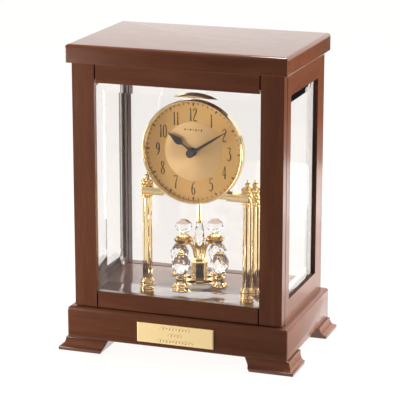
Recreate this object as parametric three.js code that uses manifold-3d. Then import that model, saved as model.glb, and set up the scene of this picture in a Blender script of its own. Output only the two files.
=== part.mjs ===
// Anniversary clock: a glazed wooden case on bracket feet, with a hinged front door, and inside it
// a gilt two-column stand that carries a round dial and a rotating crystal pendulum.
// Millimetres, +Z up, the front faces -Y. The origin is the centre of the footprint, at floor level.

import * as THREE from "three";
import { mergeVertices } from "three/addons/utils/BufferGeometryUtils.js";
import Module from "manifold-3d";

const wasm = await Module();
wasm.setup();

// ---------- driving dimensions ----------

const GAP = 0.3; // between pieces that touch
const SEAT = 0.1; // under a piece that rests on another

// case, as half widths (x) and half depths (y) about the centre
const BODY = { x: 103, y: 66 };
const PLINTH = { x: 110, y: 70.5, bottom: 12, top: 43, round: 4 };
const TOP_BOARD = { x: 107.5, y: 71.5, bottom: 279.5, top: 297, round: 3.6 };
const WALL = 8;
const POST_FRONT = { y0: -55.3, y1: -44 };
const POST_REAR = { y0: 45, y1: 66 };
const SIDE_OPENING = { bottom: 64, top: 257.5 };
const FLOOR = 53;
const REAR_RAIL_BOTTOM = 257.5;

// feet
const FOOT = { x: 117.5, y: 76, lip: 3.4, flare: 5.5 };
const FOOT_INNER = { x: 74.5, y: 38, slope: 6 };
const COVE_STEPS = 5;

// glass
const GLASS = 4;
const GLASS_EDGE = 1.4;
const BEVEL = 12.7;
const DOOR_BEVEL = 11.7;
const HOUSED = 3; // depth of the groove or rebate that holds a pane's edge
const SIDE_GLASS_FACE = 98.5;
const REAR_GLASS = { back: 56, thick: 3 };

// door
const DOOR = { front: -66, back: -56.7, bottom: 43.8, top: 278.7 };
const STILE = 22;
const DOOR_OPENING = { bottom: 60, top: 261.5 };
const LIP = 5.5;
const SHADOW_GROOVE = 1.4;

// hinges, on the left side of the case
const HINGE = { x: -104.8, y: -56, knuckle: 1.6, bore: 1.0, pin: 0.7, half: 14, leaf: 0.5, reach: 7.4 };
const HINGE_HEIGHTS = { lower: 84, upper: 240 };

// engraved plate and glass clips
const PLATE = { x: 38.1, bottom: 16, height: 19.05, thick: 1.2 };
const CLIP = { width: 8, thick: 0.8, drop: 7, tongue: 4, reach: 96.1 };
const CLIP_PLACES = { front: -20, rear: 36 };

// stand
const COLUMN = { x: 51, y: -7, shaft: 4.6, top: 157 };
const BAR = { bottom: 145.5, top: 152.5, back: -3.6, middle: -10.2, front: -14.8, clearOfHead: 32, end: 44.2 };
const BAR_PLATE = { back: -13.6, end: 53.6 };
const COLUMN_SEGMENTS = 16;

// dial head; its axis runs along y at this height
const AXIS = 191.8;
const DIAL = { face: -17.6, thick: 0.8, r: 47.8, bore: 3 };
const BEZEL = { r: 50.2, inner: 47.4, front: -22.6, back: -13.5 };
const DRUM = { r: 49.0, wall: 1.2, back: -10.8, bore: 5.5 };
const HEAD_SEGMENTS = 48;

// hands, shown at about ten past ten
const HAND = { thick: 0.6, hub: 4, hourFace: -20.4, minuteFace: -27.5 };
const HOUR_HAND_TURN = 55;
const MINUTE_HAND_TURN = -57;

// movement
const CASE = { x: 30, front: -10.5, back: 10, bottom: 156, top: 218, wall: 1.5 };
const BATTERY = { r: 7.25, length: 50.5, y: 0.6, z: 208.9, nub: 2.7 };
const BATTERY_DOOR = { x: 26, bottom: 200.5, top: 216 };
const TOOTH_CLEARANCE = 0.15;
const GEAR_MODULE = 0.6;
const TEETH = { cannon: 10, idler: 30, idlerPinion: 8, hour: 32 };
const WHEEL = { hour: [-9.6, -8.2], cannon: [-6.8, -4.6], idler: [-6.6, -4.8], idlerPinion: [-9.8, -7.2] };
const IDLER_X = 12;
const ARBOR = { r: 1.3, back: 6, tubeInner: 1.7, tubeOuter: 2.4, tubeFront: -21, tubeBack: -8 };
const KNOB = { r: 6, y0: 10.6, y1: 15, shaft: 1.2, shaftFront: -10 };

// pendulum, about the vertical axis x = y = 0, turned a little from square
const PENDULUM_TURN = 22;
const LOWER = { place: 18.5, centre: 81.6, r: 9.2, half: 11 };
const UPPER = { place: 15, centre: 114.3, r: 8.3, half: 6.7 };
const BASE_PLATE = { bottom: 59.3, top: 60.8, r: 15.5, lobe: 7.6, arm: 4, post: 7.6 };
const CARRIER = { bottom: 80.9, top: 95.5 };
const CORE = { bottom: 95.8, top: 118 };

// ---------- materials ----------

const finish = (color, roughness, metalness = 0, extra = {}) =>
  new THREE.MeshStandardMaterial({ color, roughness, metalness, ...extra });

const wood = finish(0x5a3527, 0.3);
const glass = finish(0xe6efe9, 0.05, 0, { transparent: true, opacity: 0.3 });
const crystal = finish(0xf4f4f6, 0.03, 0, { transparent: true, opacity: 0.5 });
const gilt = finish(0xe0b463, 0.15, 1);
const brass = finish(0xd8b26a, 0.25, 1);
const dialGold = finish(0xcba15c, 0.35, 0.9);
const nickel = finish(0xc9c4bc, 0.25, 1);
const dark = finish(0x2e2a2b, 0.4);
const plastic = finish(0x1d1d1f, 0.5);
const label = finish(0x3c5c46, 0.4, 0.3);

// ---------- geometry helpers ----------

const solid = (geometry) => {
  const bare = geometry.index ? geometry.toNonIndexed() : geometry;
  const onlyPositions = new THREE.BufferGeometry();
  onlyPositions.setAttribute("position", bare.getAttribute("position"));
  const merged = mergeVertices(onlyPositions, 1e-4);
  return new wasm.Manifold(
    new wasm.Mesh({
      numProp: 3,
      vertProperties: merged.attributes.position.array,
      triVerts: new Uint32Array(merged.index.array),
    }),
  );
};

const toGeometry = (manifold) => {
  const mesh = manifold.getMesh();
  const geometry = new THREE.BufferGeometry();
  geometry.setAttribute("position", new THREE.BufferAttribute(mesh.vertProperties, 3));
  geometry.setIndex(new THREE.BufferAttribute(mesh.triVerts, 1));
  return geometry;
};

const join = (first, ...others) =>
  toGeometry(others.reduce((sum, next) => sum.add(solid(next)), solid(first)));

const cut = (first, ...tools) =>
  toGeometry(tools.reduce((rest, tool) => rest.subtract(solid(tool)), solid(first)));

const box = (x0, x1, y0, y1, z0, z1) =>
  new THREE.BoxGeometry(x1 - x0, y1 - y0, z1 - z0).translate(
    (x0 + x1) / 2,
    (y0 + y1) / 2,
    (z0 + z1) / 2,
  );

// A solid of revolution about z, from [radius, height] points that run upwards from the axis to the axis.
const turned = (points, segments) =>
  new THREE.LatheGeometry(
    points.map(([r, h]) => new THREE.Vector2(r, h)),
    segments,
  ).rotateX(Math.PI / 2);

// The same about the dial's axis: heights are y.
const turnedOnDialAxis = (points, segments) =>
  new THREE.LatheGeometry(
    points.map(([r, h]) => new THREE.Vector2(r, h)),
    segments,
  ).translate(0, 0, AXIS);

// A round bar along y.
const barAlongY = (r, y0, y1, x, z, segments = 16) =>
  new THREE.CylinderGeometry(r, r, y1 - y0, segments).translate(x, (y0 + y1) / 2, z);

// A round bar along z.
const barAlongZ = (r, z0, z1, x, y, segments = 16) =>
  new THREE.CylinderGeometry(r, r, z1 - z0, segments)
    .rotateX(Math.PI / 2)
    .translate(x, y, (z0 + z1) / 2);

// A closed body through rectangles stacked upwards: each ring is { x0, x1, y0, y1, z }.
const stack = (rings) => {
  const corners = rings.flatMap(({ x0, x1, y0, y1, z }) => [
    [x0, y0, z],
    [x1, y0, z],
    [x1, y1, z],
    [x0, y1, z],
  ]);
  const faces = [
    [0, 2, 1],
    [0, 3, 2],
  ];
  for (let ring = 0; ring < rings.length - 1; ring++) {
    for (let side = 0; side < 4; side++) {
      const a = 4 * ring + side;
      const b = 4 * ring + ((side + 1) % 4);
      faces.push([a, b, b + 4], [a, b + 4, a + 4]);
    }
  }
  const last = 4 * (rings.length - 1);
  faces.push([last, last + 1, last + 2], [last, last + 2, last + 3]);
  const geometry = new THREE.BufferGeometry();
  geometry.setAttribute("position", new THREE.Float32BufferAttribute(corners.flat(), 3));
  geometry.setIndex(faces.flat());
  return geometry;
};

// A rectangle about the centre, drawn in by an inset.
const centred = (x, y, inset, z) => ({ x0: inset - x, x1: x - inset, y0: inset - y, y1: y - inset, z });

// A board with its upper edges rounded off by a quarter circle.
const roundedBoard = ({ x, y, bottom, top, round }) => {
  const rings = [centred(x, y, 0, bottom)];
  const steps = 4;
  for (let i = 0; i <= steps; i++) {
    const angle = (i / steps) * (Math.PI / 2);
    rings.push(centred(x, y, round * (1 - Math.cos(angle)), top - round + round * Math.sin(angle)));
  }
  return stack(rings);
};

// A bevelled pane lying flat: full thickness inside the bevel, thin at its edges, bevel upwards.
const pane = (halfX, halfY, bevel = BEVEL) =>
  stack([
    centred(halfX, halfY, 0, 0),
    centred(halfX, halfY, 0, GLASS_EDGE),
    centred(halfX, halfY, bevel, GLASS),
  ]);

const parts = new THREE.Group();

const add = (name, geometry, material, parent = parts) => {
  const mesh = new THREE.Mesh(geometry, material);
  mesh.name = name;
  parent.add(mesh);
  return mesh;
};

const SIDES = [
  ["left", -1],
  ["right", 1],
];
const ENDS = [
  ["front", -1],
  ["rear", 1],
];

// A box given by its span away from the centre plane, on the left or on the right.
const sideBox = (side, inner, outer, y0, y1, z0, z1) =>
  side < 0 ? box(-outer, -inner, y0, y1, z0, z1) : box(inner, outer, y0, y1, z0, z1);

// ---------- case ----------

add("top_board", roundedBoard(TOP_BOARD), wood);
add("base_plinth", roundedBoard(PLINTH), wood);

const innerWall = BODY.x - WALL;
const rearGlassFront = REAR_GLASS.back - REAR_GLASS.thick;

// the side panes stand in rebates that are open inwards, the rear pane in a groove
const sideRebate = (side) =>
  sideBox(
    side,
    innerWall - 1,
    SIDE_GLASS_FACE + GAP,
    POST_FRONT.y1 - HOUSED,
    POST_REAR.y0 + HOUSED,
    SIDE_OPENING.bottom - HOUSED,
    SIDE_OPENING.top + HOUSED,
  );
const rearGroove = box(
  -innerWall - HOUSED,
  innerWall + HOUSED,
  rearGlassFront - GAP,
  REAR_GLASS.back + GAP,
  FLOOR - HOUSED,
  REAR_RAIL_BOTTOM + HOUSED,
);

for (const [sideName, side] of SIDES) {
  const rebate = sideRebate(side);
  const onWall = (y0, y1, z0, z1) => sideBox(side, innerWall, BODY.x, y0, y1, z0, z1);
  const { bottom, top } = SIDE_OPENING;
  const frontPost = onWall(POST_FRONT.y0, POST_FRONT.y1, PLINTH.top, TOP_BOARD.bottom);
  const rearPost = onWall(POST_REAR.y0, POST_REAR.y1, PLINTH.top, TOP_BOARD.bottom);
  const lowRail = onWall(POST_FRONT.y1, POST_REAR.y0, PLINTH.top, bottom);
  const highRail = onWall(POST_FRONT.y1, POST_REAR.y0, top, TOP_BOARD.bottom);
  add(`post_front_${sideName}`, cut(frontPost, rebate), wood);
  add(`post_rear_${sideName}`, cut(rearPost, rebate, rearGroove), wood);
  add(`side_rail_bottom_${sideName}`, cut(lowRail, rebate), wood);
  add(`side_rail_top_${sideName}`, cut(highRail, rebate), wood);

  // side pane, bevelled face inwards
  const halfDepth = (POST_REAR.y0 - POST_FRONT.y1) / 2 + HOUSED - GAP;
  const halfHeight = (top - bottom) / 2 + HOUSED - GAP;
  const sidePane = add(`side_glass_${sideName}`, pane(halfHeight, halfDepth), glass);
  sidePane.rotation.y = (-side * Math.PI) / 2;
  sidePane.position.set(
    side * SIDE_GLASS_FACE,
    (POST_FRONT.y1 + POST_REAR.y0) / 2,
    (bottom + top) / 2,
  );
}

const rearRail = (z0, z1) => cut(box(-innerWall, innerWall, POST_REAR.y0, BODY.y, z0, z1), rearGroove);
add("rear_rail_top", rearRail(REAR_RAIL_BOTTOM, TOP_BOARD.bottom), wood);
add("rear_rail_bottom", rearRail(PLINTH.top, FLOOR), wood);
add("floor_board", box(-innerWall, innerWall, POST_FRONT.y0, POST_REAR.y0, PLINTH.top, FLOOR), wood);

const rearPaneX = innerWall + HOUSED - GAP;
const rearPaneBottom = FLOOR - HOUSED + GAP;
const rearPaneTop = REAR_RAIL_BOTTOM + HOUSED - GAP;
add(
  "rear_glass",
  box(-rearPaneX, rearPaneX, rearGlassFront, REAR_GLASS.back, rearPaneBottom, rearPaneTop),
  glass,
);

// ---------- feet: coved bracket blocks, one at each corner ----------

const footOutline = () => {
  const coveHeight = PLINTH.bottom - FOOT.lip;
  const levels = [{ z: 0, flared: FOOT.flare }];
  for (let i = 0; i <= COVE_STEPS; i++) {
    const angle = (i / COVE_STEPS) * (Math.PI / 2);
    levels.push({
      z: PLINTH.bottom - coveHeight * Math.cos(angle),
      flared: FOOT.flare * (1 - Math.sin(angle)),
    });
  }
  return levels;
};

for (const [endName, end] of ENDS) {
  for (const [sideName, side] of SIDES) {
    const rings = footOutline().map(({ z, flared }) => {
      const slope = (FOOT_INNER.slope * z) / PLINTH.bottom;
      const outerX = side * (FOOT.x - FOOT.flare + flared);
      const outerY = end * (FOOT.y - FOOT.flare + flared);
      const innerX = side * (FOOT_INNER.x - slope);
      const innerY = end * (FOOT_INNER.y - slope);
      return {
        x0: Math.min(outerX, innerX),
        x1: Math.max(outerX, innerX),
        y0: Math.min(outerY, innerY),
        y1: Math.max(outerY, innerY),
        z,
      };
    });
    add(`foot_${endName}_${sideName}`, stack(rings), wood);
  }
}

// ---------- door: two stiles, two rails and a bevelled pane ----------

const lipBack = DOOR.front + LIP;
const stileInner = BODY.x - STILE;
const door = new THREE.Group();
parts.add(door);

for (const [sideName, side] of SIDES) {
  const stile = join(
    sideBox(side, stileInner, BODY.x, DOOR.front, lipBack, DOOR.bottom, DOOR.top),
    sideBox(side, stileInner + HOUSED, BODY.x, lipBack, DOOR.back, DOOR.bottom, DOOR.top),
  );
  add(`door_stile_${sideName}`, stile, wood, door);
}

// A rail's face stops short of the stiles, which leaves a shadow groove; its back reaches them.
const doorRail = (faceBottom, faceTop, backBottom, backTop) => {
  const faceEnd = stileInner - SHADOW_GROOVE;
  const backEnd = stileInner + HOUSED;
  return join(
    box(-faceEnd, faceEnd, DOOR.front, lipBack, faceBottom, faceTop),
    box(-backEnd, backEnd, lipBack, DOOR.back, backBottom, backTop),
  );
};
const lowBack = DOOR_OPENING.bottom - HOUSED;
const highBack = DOOR_OPENING.top + HOUSED;
add("door_rail_bottom", doorRail(DOOR.bottom, DOOR_OPENING.bottom, DOOR.bottom, lowBack), wood, door);
add("door_rail_top", doorRail(DOOR_OPENING.top, DOOR.top, highBack, DOOR.top), wood, door);

const doorPane = add(
  "door_glass",
  pane(stileInner + HOUSED - GAP, (DOOR_OPENING.top - DOOR_OPENING.bottom) / 2 + HOUSED - GAP, DOOR_BEVEL),
  glass,
  door,
);
doorPane.rotation.x = Math.PI / 2;
doorPane.position.set(0, DOOR.back, (DOOR_OPENING.bottom + DOOR_OPENING.top) / 2);

// butt hinges: the case leaf carries the lower knuckle and the pin, the door leaf the upper knuckle
for (const [height, z] of Object.entries(HINGE_HEIGHTS)) {
  const { x, y, knuckle, bore, pin, half, leaf, reach } = HINGE;
  const leafInner = -BODY.x + reach;
  const caseLeaf = join(
    box(-BODY.x, leafInner, POST_FRONT.y0 - leaf, POST_FRONT.y0, z - half, z + half),
    box(x, -BODY.x + 1, POST_FRONT.y0 - leaf, POST_FRONT.y0, z - half, z - GAP),
    barAlongZ(knuckle, z - half, z - GAP, x, y),
    barAlongZ(pin, z - 1, z + half, x, y),
  );
  add(`hinge_leaf_case_${height}`, caseLeaf, brass);
  const doorLeaf = cut(
    join(
      box(-BODY.x, leafInner, DOOR.back, DOOR.back + leaf, z - half, z + half),
      box(x, -BODY.x + 1, DOOR.back, DOOR.back + leaf, z, z + half),
      barAlongZ(knuckle, z, z + half, x, y),
    ),
    barAlongZ(bore, z - 1, z + half + 1, x, y),
  );
  add(`hinge_leaf_door_${height}`, doorLeaf, brass, door);
}

// ---------- engraved plate and glass clips ----------

const plateFront = -PLINTH.y - PLATE.thick;
add(
  "engraved_plate",
  box(-PLATE.x, PLATE.x, plateFront, -PLINTH.y, PLATE.bottom, PLATE.bottom + PLATE.height),
  brass,
);

for (const [sideName, side] of SIDES) {
  for (const [endName, y] of Object.entries(CLIP_PLACES)) {
    const { width, thick, drop, tongue, reach } = CLIP;
    const ledge = SIDE_OPENING.bottom - HOUSED;
    const strip = (inner, outer, z0, z1) =>
      sideBox(side, inner, outer, y - width / 2, y + width / 2, z0, z1);
    const clip = join(
      strip(innerWall - thick, reach, ledge, ledge + thick),
      strip(innerWall - thick, innerWall, ledge - drop, ledge + thick),
      strip(reach - thick, reach, ledge, ledge + tongue),
    );
    add(`glass_clip_${sideName}_${endName}`, clip, nickel);
  }
}

// ---------- stand: two columns with finials, joined by a bar ----------

const columnProfile = [
  [0, FLOOR],
  [7, FLOOR],
  [7.2, FLOOR + 0.8],
  [6.4, FLOOR + 1.6],
  [7.2, FLOOR + 2.6],
  [7.2, FLOOR + 3.8],
  [5.6, FLOOR + 4.8],
  [5.8, FLOOR + 5.8],
  [COLUMN.shaft, FLOOR + 6.6],
  [COLUMN.shaft, 141],
  [5.4, 141.8],
  [5.4, 143],
  [4.9, 143.8],
  [6.2, 145],
  [6.2, 152.6],
  [7.2, 153.8],
  [7.2, 155.6],
  [5, COLUMN.top],
  [0, COLUMN.top],
];
const finialProfile = [
  [0, 0],
  [1.9, 0],
  [1.4, 1.4],
  [2.5, 2.5],
  [3.1, 4.4],
  [2.4, 6.2],
  [1.1, 7.2],
  [1.1, 8.2],
  [0, 8.8],
];
for (const [sideName, side] of SIDES) {
  const place = (geometry) => geometry.translate(side * COLUMN.x, COLUMN.y, 0);
  add(`column_${sideName}`, place(turned(columnProfile, COLUMN_SEGMENTS)), gilt);
  add(`finial_${sideName}`, place(turned(finialProfile, 12).translate(0, 0, COLUMN.top + SEAT)), gilt);
}

// The bar passes behind the dial head; outside it the bar is deeper, and a thin end of it crosses
// the front of each capital.
const barPiece = (side, inner, outer, front, back) =>
  sideBox(side, inner, outer, front, back, BAR.bottom, BAR.top);
const bar = join(
  box(-BAR.end, BAR.end, BAR.middle, BAR.back, BAR.bottom, BAR.top),
  ...SIDES.flatMap(([, side]) => [
    barPiece(side, BAR.clearOfHead, BAR.end, BAR.front, BAR.back),
    barPiece(side, BAR.clearOfHead, BAR_PLATE.end, BAR.front, BAR_PLATE.back),
  ]),
);
add("cross_bar", bar, gilt);

// ---------- dial head ----------

const drumFront = DIAL.face + DIAL.thick;
const drumBackInner = DRUM.back - DRUM.wall;
const drum = turnedOnDialAxis(
  [
    [DRUM.bore, DRUM.back],
    [DRUM.bore, drumBackInner],
    [DRUM.r - DRUM.wall, drumBackInner],
    [DRUM.r - DRUM.wall, drumFront + SEAT],
    [DRUM.r, drumFront + SEAT],
    [DRUM.r, DRUM.back],
    [DRUM.bore, DRUM.back],
  ],
  HEAD_SEGMENTS,
);
add("dial_drum", drum, gilt);

const dialPlate = turnedOnDialAxis(
  [
    [DIAL.bore, drumFront],
    [DIAL.bore, DIAL.face],
    [DIAL.r, DIAL.face],
    [DIAL.r, drumFront],
    [DIAL.bore, drumFront],
  ],
  HEAD_SEGMENTS,
);
add("dial", dialPlate, dialGold);

// The bezel is a stepped ring in front of the dial, with a skirt round the drum.
const skirtInner = DRUM.r + GAP;
const bezel = turnedOnDialAxis(
  [
    [skirtInner, BEZEL.back],
    [skirtInner, DIAL.face - GAP],
    [BEZEL.inner, DIAL.face - GAP],
    [BEZEL.inner, DIAL.face - 1.6],
    [48.2, BEZEL.front + 1.2],
    [48.8, BEZEL.front],
    [49.6, BEZEL.front],
    [BEZEL.r, BEZEL.front + 1.1],
    [BEZEL.r, BEZEL.back],
    [skirtInner, BEZEL.back],
  ],
  HEAD_SEGMENTS,
);
add("bezel", bezel, gilt);

// ---------- hands ----------

// A flat hand drawn in the dial's plane, pointing up, as an outline of [across, along] points on one side.
const handShape = (half) => {
  const shape = new THREE.Shape();
  const mirrored = half.map(([x, z]) => [-x, z]).reverse();
  [...half, ...mirrored].forEach(([x, z], i) => (i ? shape.lineTo(x, z) : shape.moveTo(x, z)));
  shape.closePath();
  return shape;
};

const blade = (half, face) =>
  new THREE.ExtrudeGeometry(handShape(half), { depth: HAND.thick, bevelEnabled: false })
    .rotateX(Math.PI / 2)
    .translate(0, face + HAND.thick, 0);

const hourOutline = [
  [1.0, 2],
  [0.7, 13],
  [1.6, 14],
  [3.4, 16.2],
  [3.5, 18.4],
  [2.6, 21],
  [1.1, 25],
  [0.15, 30.2],
];
const minuteOutline = [
  [1.6, 2],
  [1.1, 16],
  [1.15, 30],
  [0.5, 38],
  [0.15, 44.5],
];

// Each hand turns about the dial's axis, so it is built there and turned to its time.
const onAxis = (turn) => {
  const group = new THREE.Group();
  group.position.z = AXIS;
  group.rotation.y = (-turn * Math.PI) / 180;
  parts.add(group);
  return group;
};
const hourGroup = onAxis(HOUR_HAND_TURN);
const minuteGroup = onAxis(MINUTE_HAND_TURN);

const hourHand = cut(
  join(blade(hourOutline, HAND.hourFace), barAlongY(HAND.hub, HAND.hourFace, HAND.hourFace + 1.4, 0, 0, 20)),
  barAlongY(ARBOR.tubeOuter + GAP, HAND.hourFace - 1, HAND.hourFace + 3, 0, 0, 20),
);
add("hour_hand", hourHand, dark, hourGroup);

const minuteHand = cut(
  join(
    blade(minuteOutline, HAND.minuteFace),
    barAlongY(HAND.hub, HAND.minuteFace - 0.8, HAND.minuteFace + 1.6, 0, 0, 20),
  ),
  barAlongY(ARBOR.r + GAP, HAND.minuteFace + 0.2, HAND.minuteFace + 3, 0, 0, 20),
);
add("minute_hand", minuteHand, dark, minuteGroup);

// ---------- movement ----------

// A toothed disc: its tips stay just inside its pitch circle, so that neighbours never touch.
const gear = (wheel) => {
  const teeth = TEETH[wheel];
  const [y0, y1] = WHEEL[wheel];
  const pitchRadius = (teeth * GEAR_MODULE) / 2;
  const tip = pitchRadius - TOOTH_CLEARANCE;
  const root = pitchRadius - 1.1 * GEAR_MODULE;
  const shape = new THREE.Shape();
  for (let i = 0; i < teeth; i++) {
    [
      [root, 0],
      [root, 0.4],
      [tip, 0.55],
      [tip, 0.85],
    ].forEach(([r, share], corner) => {
      const angle = ((i + share) / teeth) * 2 * Math.PI;
      const point = [r * Math.cos(angle), r * Math.sin(angle)];
      if (i === 0 && corner === 0) shape.moveTo(...point);
      else shape.lineTo(...point);
    });
  }
  shape.closePath();
  return new THREE.ExtrudeGeometry(shape, { depth: y1 - y0, bevelEnabled: false })
    .rotateX(Math.PI / 2)
    .translate(0, y1, 0);
};

const hourWheel = cut(
  join(barAlongY(ARBOR.tubeOuter, ARBOR.tubeFront, ARBOR.tubeBack, 0, 0), gear("hour")),
  barAlongY(ARBOR.tubeInner, ARBOR.tubeFront - 1, ARBOR.tubeBack + 1, 0, 0),
);
add("hour_wheel", hourWheel, brass, hourGroup);

const minuteArbor = join(
  barAlongY(ARBOR.r, HAND.minuteFace + 0.5, ARBOR.back, 0, 0),
  gear("cannon"),
);
add("minute_arbor", minuteArbor, brass, minuteGroup);

// The setting knob is moulded in one with its shaft, the idler wheel and the idler's pinion.
const GRIP_FLUTES = 12;
const gripFlutes = Array.from({ length: GRIP_FLUTES }, (_, i) => {
  const angle = (i / GRIP_FLUTES) * 2 * Math.PI;
  return barAlongY(0.6, KNOB.y0 - 1, KNOB.y1 + 1, KNOB.r * Math.cos(angle), KNOB.r * Math.sin(angle), 6);
});
const settingKnob = join(
  cut(barAlongY(KNOB.r, KNOB.y0, KNOB.y1, 0, 0, 24), ...gripFlutes),
  barAlongY(KNOB.shaft, KNOB.shaftFront, KNOB.y0 + 2, 0, 0),
  gear("idlerPinion"),
  gear("idler"),
).translate(IDLER_X, 0, AXIS);
add("setting_knob", settingKnob, plastic);

const { x: caseX, wall } = CASE;
const movementCase = cut(
  box(-caseX, caseX, CASE.front, CASE.back, CASE.bottom, CASE.top),
  box(wall - caseX, caseX - wall, CASE.front - 1, CASE.back - wall, CASE.bottom + wall, CASE.top - wall),
  box(-BATTERY_DOOR.x, BATTERY_DOOR.x, 0, CASE.back + 1, BATTERY_DOOR.bottom, BATTERY_DOOR.top),
  barAlongY(2, 0, CASE.back + 1, IDLER_X, AXIS),
  barAlongZ(2.6, CASE.bottom - 1, CASE.bottom + wall + 1, 0, 0),
);
add("movement_case", movementCase, plastic);

add(
  "battery_cover",
  box(
    GAP - BATTERY_DOOR.x,
    BATTERY_DOOR.x - GAP,
    CASE.back - wall,
    CASE.back,
    BATTERY_DOOR.bottom + GAP,
    BATTERY_DOOR.top - GAP,
  ),
  plastic,
);

const batteryProfile = [
  [0, 0],
  [BATTERY.r, 0],
  [BATTERY.r, BATTERY.length - 1],
  [BATTERY.nub, BATTERY.length - 1],
  [BATTERY.nub, BATTERY.length],
  [0, BATTERY.length],
];
const battery = turned(batteryProfile, 20)
  .rotateY(Math.PI / 2)
  .translate(-BATTERY.length / 2, BATTERY.y, BATTERY.z);
add("battery", battery, label);

// ---------- pendulum ----------

const pendulum = new THREE.Group();
pendulum.rotation.z = (PENDULUM_TURN * Math.PI) / 180;
parts.add(pendulum);

const rod = turned(
  [
    [0, CORE.top + GAP],
    [3.4, CORE.top + GAP],
    [1.8, 136],
    [1.8, CASE.bottom + wall + 0.6],
    [4, CASE.bottom + wall + 0.9],
    [4, CASE.bottom + wall + 3],
    [0, CASE.bottom + wall + 3],
  ],
  12,
);
add("pendulum_rod", rod, gilt, pendulum);

const core = turned(
  [
    [0, CORE.bottom],
    [4.2, CORE.bottom],
    [5.2, CORE.bottom + 5.5],
    [3.3, CORE.top],
    [0, CORE.top],
  ],
  8,
);
add("pendulum_centre_crystal", core, crystal, pendulum);

const corners = [
  ["front_left", -1, -1],
  ["front_right", 1, -1],
  ["rear_right", 1, 1],
  ["rear_left", -1, 1],
];
const pedestal = turned(
  [
    [0, BASE_PLATE.top - 1],
    [6.2, BASE_PLATE.top - 1],
    [6.6, BASE_PLATE.top + 0.8],
    [5.2, BASE_PLATE.top + 1.6],
    [5, BASE_PLATE.top + 7.9],
    [3.6, BASE_PLATE.top + 9.4],
    [0, BASE_PLATE.top + 9.4],
  ],
  14,
);
const lobes = corners.flatMap(([, x, y]) => [
  barAlongZ(BASE_PLATE.lobe, BASE_PLATE.bottom, BASE_PLATE.top, x * LOWER.place, y * LOWER.place, 18),
  pedestal.clone().translate(x * LOWER.place, y * LOWER.place, 0),
]);
const { arm: armHalf, post } = BASE_PLATE;
const lobeReach = LOWER.place * Math.SQRT2;
const baseArm = (turn) =>
  box(-lobeReach, lobeReach, -armHalf, armHalf, BASE_PLATE.bottom, BASE_PLATE.top).rotateZ(turn);
const pendulumBase = join(
  barAlongZ(BASE_PLATE.r, BASE_PLATE.bottom, BASE_PLATE.top, 0, 0, 32),
  baseArm(Math.PI / 4),
  baseArm(-Math.PI / 4),
  box(-post, post, -post, post, BASE_PLATE.top - 1, CARRIER.bottom - GAP),
  ...lobes,
);
add("pendulum_base", pendulumBase, gilt, pendulum);

// The carrier: a centre column, two swept arms, and on each arm a dish with a cup for a crystal ball.
const arm = (side) => {
  const path = new THREE.QuadraticBezierCurve3(
    new THREE.Vector3(side * 3.4, 0, CARRIER.bottom + 2.6),
    new THREE.Vector3(side * 6, 0, 98),
    new THREE.Vector3(side * UPPER.place, 0, 97.4),
  );
  const section = new THREE.Shape();
  section.absellipse(0, 0, 1.6, 2.6, 0, 2 * Math.PI);
  return new THREE.ExtrudeGeometry(section, { steps: 8, extrudePath: path, curveSegments: 4 });
};
const dishAndCup = turned(
  [
    [0, 94.5],
    [3, 94.5],
    [6, 96.4],
    [9.4, 101.4],
    [8.8, 101.8],
    [5.4, 98.6],
    [4.2, 99.4],
    [4.6, 107.3],
    [0, 107.3],
  ],
  14,
);
const carrier = join(
  barAlongZ(4.9, CARRIER.bottom, CARRIER.top, 0, 0, 16),
  arm(-1),
  arm(1),
  dishAndCup.clone().translate(-UPPER.place, 0, 0),
  dishAndCup.clone().translate(UPPER.place, 0, 0),
);
add("pendulum_carrier", carrier, gilt, pendulum);

// A crystal with flat facets: an egg, or a flattened ball where its half height is less than its radius.
const egg = (r, half, centre) => {
  const points = [[0, centre - half]];
  for (let i = 1; i < 7; i++) {
    const angle = (i / 7) * Math.PI;
    points.push([r * Math.sin(angle), centre - half * Math.cos(angle)]);
  }
  points.push([0, centre + half]);
  return turned(points, 10);
};
for (const [cornerName, x, y] of corners) {
  const drop = egg(LOWER.r, LOWER.half, LOWER.centre + GAP);
  add(`crystal_lower_${cornerName}`, drop.translate(x * LOWER.place, y * LOWER.place, 0), crystal, pendulum);
}
for (const [sideName, side] of SIDES) {
  const ball = egg(UPPER.r, UPPER.half, UPPER.centre + GAP);
  add(`crystal_upper_${sideName}`, ball.translate(side * UPPER.place, 0, 0), crystal, pendulum);
}

export default parts;
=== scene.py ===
"""Anniversary clock: the looks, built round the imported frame.

Metres, +Z up, the front faces -Y, as in the frame. Places and sizes are read from the CAD nodes'
boxes or worked out from them. Lengths written here in millimetres go through mm() or mms().
"""

import math

import bpy
from mathutils import Matrix, Vector


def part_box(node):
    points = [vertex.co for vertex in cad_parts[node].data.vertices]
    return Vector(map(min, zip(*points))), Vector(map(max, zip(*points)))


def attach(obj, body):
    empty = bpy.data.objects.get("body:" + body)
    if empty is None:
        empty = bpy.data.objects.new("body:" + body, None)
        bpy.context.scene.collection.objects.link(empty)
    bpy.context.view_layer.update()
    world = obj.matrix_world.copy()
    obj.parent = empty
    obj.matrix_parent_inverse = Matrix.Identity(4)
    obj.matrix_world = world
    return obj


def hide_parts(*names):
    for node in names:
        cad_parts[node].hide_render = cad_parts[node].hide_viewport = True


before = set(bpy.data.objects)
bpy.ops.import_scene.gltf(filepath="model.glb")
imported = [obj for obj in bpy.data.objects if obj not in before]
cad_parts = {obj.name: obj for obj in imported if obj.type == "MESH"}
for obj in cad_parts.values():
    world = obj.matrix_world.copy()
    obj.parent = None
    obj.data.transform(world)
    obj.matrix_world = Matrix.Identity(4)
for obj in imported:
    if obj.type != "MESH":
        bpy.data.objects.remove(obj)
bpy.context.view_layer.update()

TURN = 2 * math.pi
SIDES = {"left": -1, "right": 1}


def mm(length):
    return length * 0.001


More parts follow.
